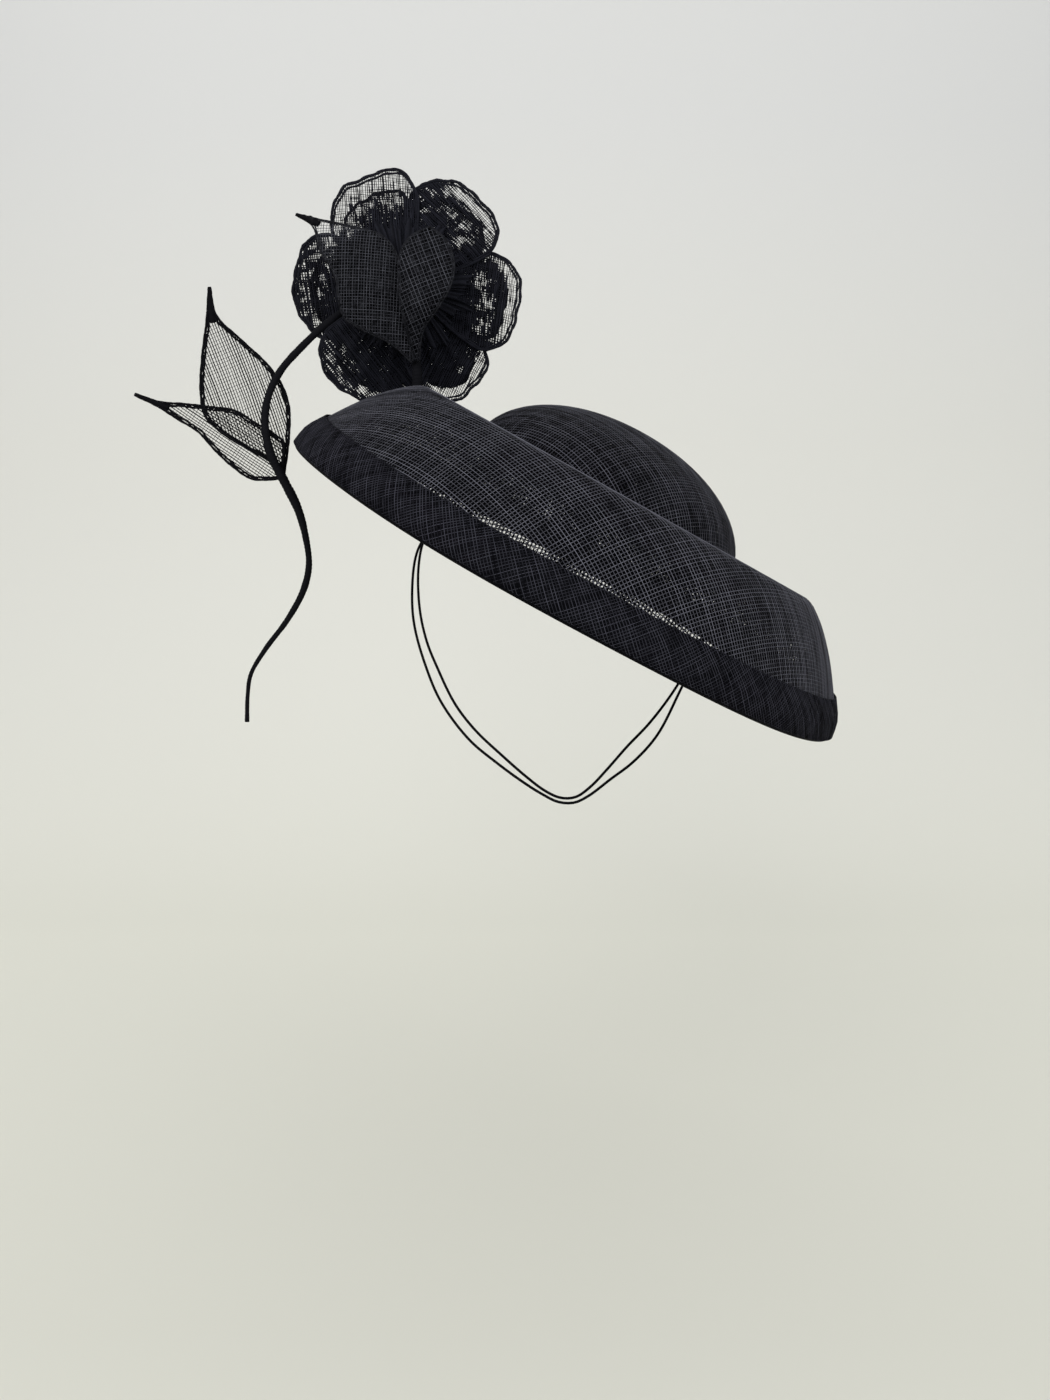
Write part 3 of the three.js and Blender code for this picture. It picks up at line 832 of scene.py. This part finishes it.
def gathers(petal, seed):
    """The cloth drawn together round the knot: a closed sheet of narrow pleats with a ragged end, painted
    a little lighter where they come forward to -Y, as a painted highlight on their crests."""
    half_thickness = 0.12
    columns = 150
    v = np.linspace(-1, 1, columns)
    ragged = 0.2 * wander(v, seed + 3, 0.45) + 0.08 * wander(v, seed + 6, 0.07)
    end = petal.layer["gather_to"] * (1 - 0.12 * v * v + ragged)
    u = np.linspace(-0.06, 1, 14)[:, None] * end[None]
    v = np.broadcast_to(v, u.shape)
    out = petal.normals(u, v)
    fold = np.sin(46 * v + 3 * wander(v, seed + 5, 0.5) + 1.5 * wander(u, seed + 4, 0.8))
    middle = petal.place(u, v) + out * (0.4 * fold * np.minimum(1, 3 * u) - 0.8)[..., None]
    skin = out * half_thickness
    points, quads, tris, tones = grid_shell(middle + skin, middle - skin, False)
    # Painted highlight: the tone rises where a pleat comes forward.
    return points, quads, tris, tones + 0.12 * (1 - np.tile(fold.ravel(), 2))


def rolled_outline(petal, radius, inset, seed):
    """A rolled edge along both sides and the rim of a petal, moved in by a share of its length."""
    up, across = np.linspace(0.3, 1, 30), np.linspace(-1, 1, 61)
    u = np.r_[up[:-1], np.ones(len(across)), up[-2::-1]] * (1 - inset)
    v = np.r_[-np.ones(len(up) - 1), across, np.ones(len(up) - 1)] * (1 - 1.5 * inset)
    line = petal.place(u, v)
    along = lengths_along(line)
    size = radius * (1 + 0.22 * wander(along, seed, 5))
    line = line + petal.normals(u, v) * (0.3 * wander(along, seed + 1, 9))[:, None]
    return tubes([line], [petal.normals(u * 0.98, v * 0.98)], size, size * 0.85, 7, 0.25)


def add_flower():
    """Each petal: its cloth, its gathers, and one or two rolled edges."""
    for layer_index, layer in enumerate(LAYERS):
        for index, shape in enumerate(PETALS):
            node = f"petal_{layer['name']}_{index + 1}"
            seed = 100 * (layer_index + 1) + 10 * index
            petal = Petal(shape, layer, seed)
            parts = petal_cloth(petal, seed) + [
                gathers(petal, seed),
                rolled_outline(petal, layer["edge"], 0, seed),
            ]
            if "light" not in shape or layer["name"] == "outer":
                parts.append(rolled_outline(petal, layer["edge"] * 0.7, 0.036, seed + 5))
            add_piece(node + "_gauze", joined(parts), FLOWER_SINAMAY, [node])


def add_flower_core():
    """A gathered knot with shallow pleats, closed by a fan of triangles at both ends."""
    profile = smooth_curve([(0.6, -8), (5, -7.4), (8, -5), (8.6, -2), (8.7, 3), (8.6, 8), (7.4, 13),
                            (4.4, 16.4), (0.6, 17.6)], 6)
    rows, columns = len(profile), 96
    angle = np.linspace(0, 2 * math.pi, columns, endpoint=False)[None]
    depth = np.repeat(profile[:, 1:], columns, axis=1)
    radius = profile[:, :1] * (1 - 0.09 * (0.5 + 0.5 * np.cos(14 * angle + depth * 0.12)))
    points = FLOWER_CENTRE + np.stack([radius * np.cos(angle), depth, radius * np.sin(angle)], -1)
    ends = [FLOWER_CENTRE + (0, profile[0, 1], 0), FLOWER_CENTRE + (0, profile[-1, 1], 0)]

    i, j = np.meshgrid(np.arange(rows - 1) * columns, np.arange(columns), indexing="ij")
    i, j = i.ravel(), j.ravel()
    after = (j + 1) % columns
    quads = np.stack([i + j, i + columns + j, i + columns + after, i + after], 1)
    k = np.arange(columns)
    follow = (k + 1) % columns
    last_row, near_end, far_end = (rows - 1) * columns, rows * columns, rows * columns + 1
    caps = np.vstack([
        np.stack([np.full(columns, near_end), k, follow], 1),
        np.stack([np.full(columns, far_end), last_row + follow, last_row + k], 1),
    ])
    points = np.vstack([points.reshape(-1, 3), ends])
    part = points, quads, caps, np.full(len(points), 0.4)
    add_piece("flower_core_knot", part, FLOWER_SINAMAY, ["flower_core"])


add_flower()
add_flower_core()


# Leaves


def smooth_value(x, rows, column):
    """Smooth interpolation in one column of a table whose first column is x."""
    rows = np.array(rows, float)
    place, value = rows[:, 0], rows[:, column]
    slope = np.gradient(value, place)
    k = np.clip(np.searchsorted(place, x, side="right") - 1, 0, len(place) - 2)
    span = place[k + 1] - place[k]
    t = (x - place[k]) / span
    return ((1 + 2 * t) * (1 - t) ** 2 * value[k] + t * (1 - t) ** 2 * span * slope[k]
            + t * t * (3 - 2 * t) * value[k + 1] + t * t * (t - 1) * span * slope[k + 1])


class Leaf:
    """A bent leaf. Its flat coordinates are along its length and to its left."""

    def __init__(self, shape):
        self.shape = shape
        direction = math.radians(shape["direction"])
        self.ahead = np.array([math.cos(direction), 0, math.sin(direction)])
        self.left = np.array([-math.sin(direction), 0, math.cos(direction)])

    def middle(self, share):
        """How far the middle bows to the left."""
        return smooth_value(np.clip(share, 0, 1), self.shape["rows"], 1)

    def half(self, share):
        """Half of the width."""
        return np.maximum(smooth_value(np.clip(share, 0, 1), self.shape["rows"], 2), 0.4)

    def place(self, along, left):
        shape = self.shape
        share = np.clip(along / shape["length"], 0, 1)
        across = (left - self.middle(share)) / self.half(share)
        bow = np.sin(share * math.pi)
        depth = (shape["bulge"] + shape["edge_depth"] * np.clip(across, -1.1, 1.1) ** 2) * bow
        depth = depth + shape["drop"] * share
        points = np.array(shape["base"]) + along[..., None] * self.ahead + left[..., None] * self.left
        return points + np.stack([0 * depth, depth, 0 * depth], -1)

    def inside(self, along, left):
        share = along / self.shape["length"]
        across = np.abs(left - self.middle(share)) / self.half(share)
        return (share > 0.01) & (share < 0.99) & (across < 1)

    def normals(self, along, left):
        tiny = 0.05
        return unit(np.cross(self.place(along + tiny, left) - self.place(along - tiny, left),
                             self.place(along, left + tiny) - self.place(along, left - tiny)))


def leaf_weave(leaf, turned, lift, seed, light, pitches, strands, end=1):
    """Threads in two directions, going over and under each other, up to a share of the leaf's length.
    The first runs along the leaf's grain. light is the range of their tones."""
    shape = leaf.shape
    streaks = 0.3 * (light[1] - light[0])  # how much a tone changes along its thread, either way
    reach = shape["length"] * 0.75
    middle = shape["length"] / 2
    parts = []
    for family in (0, 1):
        rng = np.random.default_rng(seed + family)
        pitch, strand = pitches[family], strands[family]
        turn = math.radians(shape["grain"] + turned) + family * math.pi / 2
        ahead, aside = (math.cos(turn), math.sin(turn)), (-math.sin(turn), math.cos(turn))
        lines, normals, widths, tones = [], [], [], []
        for k, offset in enumerate(np.arange(-reach, reach, pitch)):
            e = np.arange(-reach, reach, pitch / 2)
            shift = offset + rng.normal(0, 0.06) + 0.12 * wander(e, rng.integers(1 << 30), 30)
            along = middle + e * ahead[0] + shift * aside[0]
            left = e * ahead[1] + shift * aside[1]
            over = strand * 0.3 * np.cos(math.pi * (e / pitch + k + family))
            for pick in runs_inside(leaf.inside(along, left) & (along < end * shape["length"])):
                out = leaf.normals(along[pick], left[pick])
                lines.append(leaf.place(along[pick], left[pick]) + out * (lift + over[pick])[:, None])
                normals.append(out)
                widths.append(np.full(len(pick), strand / 2 * rng.uniform(0.75, 1.3)))
                tones.append(rng.uniform(*light) + streaks * rng.uniform(-1, 1, len(pick)))
        size, tones = np.concatenate(widths), np.concatenate(tones)
        parts.append(tubes(lines, normals, size, np.minimum(size * 0.75, 0.25), 4, tones))
    return parts


def leaf_edges(leaf, seed):
    """Each side is rolled twice, and both sides twist together into the tip."""
    shape = leaf.shape
    radius = shape["edge"]
    share = np.linspace(0, 1, 110)
    along = share * shape["length"]
    middle, half = leaf.middle(share), leaf.half(share)
    parts = []
    for side in (-1, 1):
        for fold, (inset, size) in enumerate(((0, 1), (1.95 * radius, 0.9))):
            left = middle + side * np.maximum(half - radius * 0.6 - inset, 0.25 * half)
            left = left + 0.45 * radius * fold * wander(along, seed + side, 6)
            rough = radius * size * (1 + 0.18 * wander(along, seed + side + 7 * fold, 5))
            rough = np.minimum(rough, np.maximum(half * 0.8, 0.35))
            normals = leaf.normals(along, left * 0.999)
            parts.append(tubes([leaf.place(along, left)], [normals], rough, rough * 0.8, 7, 0.04))
    share = np.linspace(shape["tip_from"], 1, 40)
    along = share * shape["length"]
    twist = 1 + 0.12 * np.sin(2 * math.pi * along / 3.2)
    half = leaf.half(share) * np.minimum(1, 0.4 + 12 * (share - shape["tip_from"])) * twist
    left = leaf.middle(share)
    line, normals = leaf.place(along, left), leaf.normals(along, left)
    parts.append(tubes([line], [normals], half, np.minimum(half, 1), 8, 0))
    return parts


def add_leaves():
    """Each leaf: its weave, a close layer behind it where it has one, drawn near black as painted shade
    between the threads, and its rolled edges.
    """
    for index, (node, shape) in enumerate(LEAVES.items()):
        leaf = Leaf(shape)
        seed = 300 + 20 * index
        parts = leaf_weave(leaf, 0, 0.2, seed, (0.12, 0.38), shape["pitch"], shape["strand"])
        if shape["under_to"] > 0:
            # The layer behind gets tones near 0: painted shade between the upper threads.
            parts += leaf_weave(
                leaf, 4, -0.8, seed + 5, (0, 0.05), (1.5, 1.5), (1.4, 1.3), shape["under_to"])
        parts += leaf_edges(leaf, seed + 9)
        material = TENDRIL_SINAMAY if node.startswith("tendril") else LEAF_SINAMAY
        add_piece(node + "_gauze", joined(parts), material, [node])


add_leaves()


# Wires


def add_wire(name, rows, seed):
    """A wire wrapped in a narrow strip, whose turns show as low ridges."""
    step, strip_width, sides = 0.5, 2.1, 12
    line = smooth_curve(rows, 24)
    count = int(lengths_along(line)[-1] / step)
    line = evenly(line, count)
    centre, radius = line[:, :3], line[:, 3]
    points, *faces = tubes([centre], [np.tile([0.0, 1.0, 0.0], (count, 1))], radius, radius, sides)
    along = lengths_along(line)
    turn = np.arange(sides) / sides
    ridge = 0.035 * np.sin(2 * math.pi * (along[:, None] / strip_width + turn[None]))
    lumps = 0.05 * wander(along, seed, 14)[:, None]
    centre = np.repeat(centre, sides, axis=0)
    points = centre + (points - centre) * (1 + ridge + lumps).reshape(-1, 1)
    add_piece(name + "_wrapped", (points, *faces), WRAPPED_WIRE, [name])


add_wire("flower_stalk", STALK, 1)
add_wire("tendril", TENDRIL, 2)


# Studio


def add_studio():
    """A pale floor that sweeps up into a pale wall, soft lights and an even pale surround."""
    depth, height, bend, half = 900, 1600, 500, 2400
    section = [(-1500, 0), (depth - bend, 0)]
    for step in range(1, 13):
        angle = math.pi / 2 * step / 12
        section.append((depth - bend + bend * math.sin(angle), bend * (1 - math.cos(angle))))
    section.append((depth, height))
    points = [(x * MM, y * MM, (FLOOR_HEIGHT + z) * MM) for x in (-half, half) for y, z in section]
    n = len(section)
    mesh = bpy.data.meshes.new("sweep")
    mesh.from_pydata(points, [], [(i, n + i, n + i + 1, i + 1) for i in range(n - 1)])
    mesh.polygons.foreach_set("use_smooth", [True] * (n - 1))
    mesh.materials.append(studio_paint_painted_shade())
    add_object("sweep", mesh)

    world = bpy.data.worlds.new("surround")
    world.use_nodes = True
    background = world.node_tree.nodes["Background"]
    background.inputs["Color"].default_value = (0.95, 0.97, 1, 1)
    background.inputs["Strength"].default_value = 0.62
    bpy.context.scene.world = world

    # name, place, point that it faces, colour, watts, size in metres
    lamps = [
        ("key", (-700, -1300, 700), (0, 0, 0), (1.0, 0.99, 0.97), 17, 1.4),
        ("fill", (1000, -900, 300), (0, 0, 0), (0.97, 0.98, 1.0), 4, 1.2),
        ("backdrop", (0, 250, 600), (0, 800, -350), (1.0, 0.99, 0.97), 1.6, 1.6),
    ]
    for name, place, aim, colour, watts, size in lamps:
        light = bpy.data.lights.new(name, "AREA")
        light.energy = watts
        light.size = size
        light.color = colour
        lamp = add_object(name, light)
        lamp.location = Vector(place) * MM
        lamp.rotation_euler = (Vector(aim) * MM - lamp.location).to_track_quat("-Z", "Y").to_euler()
    bpy.context.scene.view_settings.view_transform = "Standard"


add_studio()
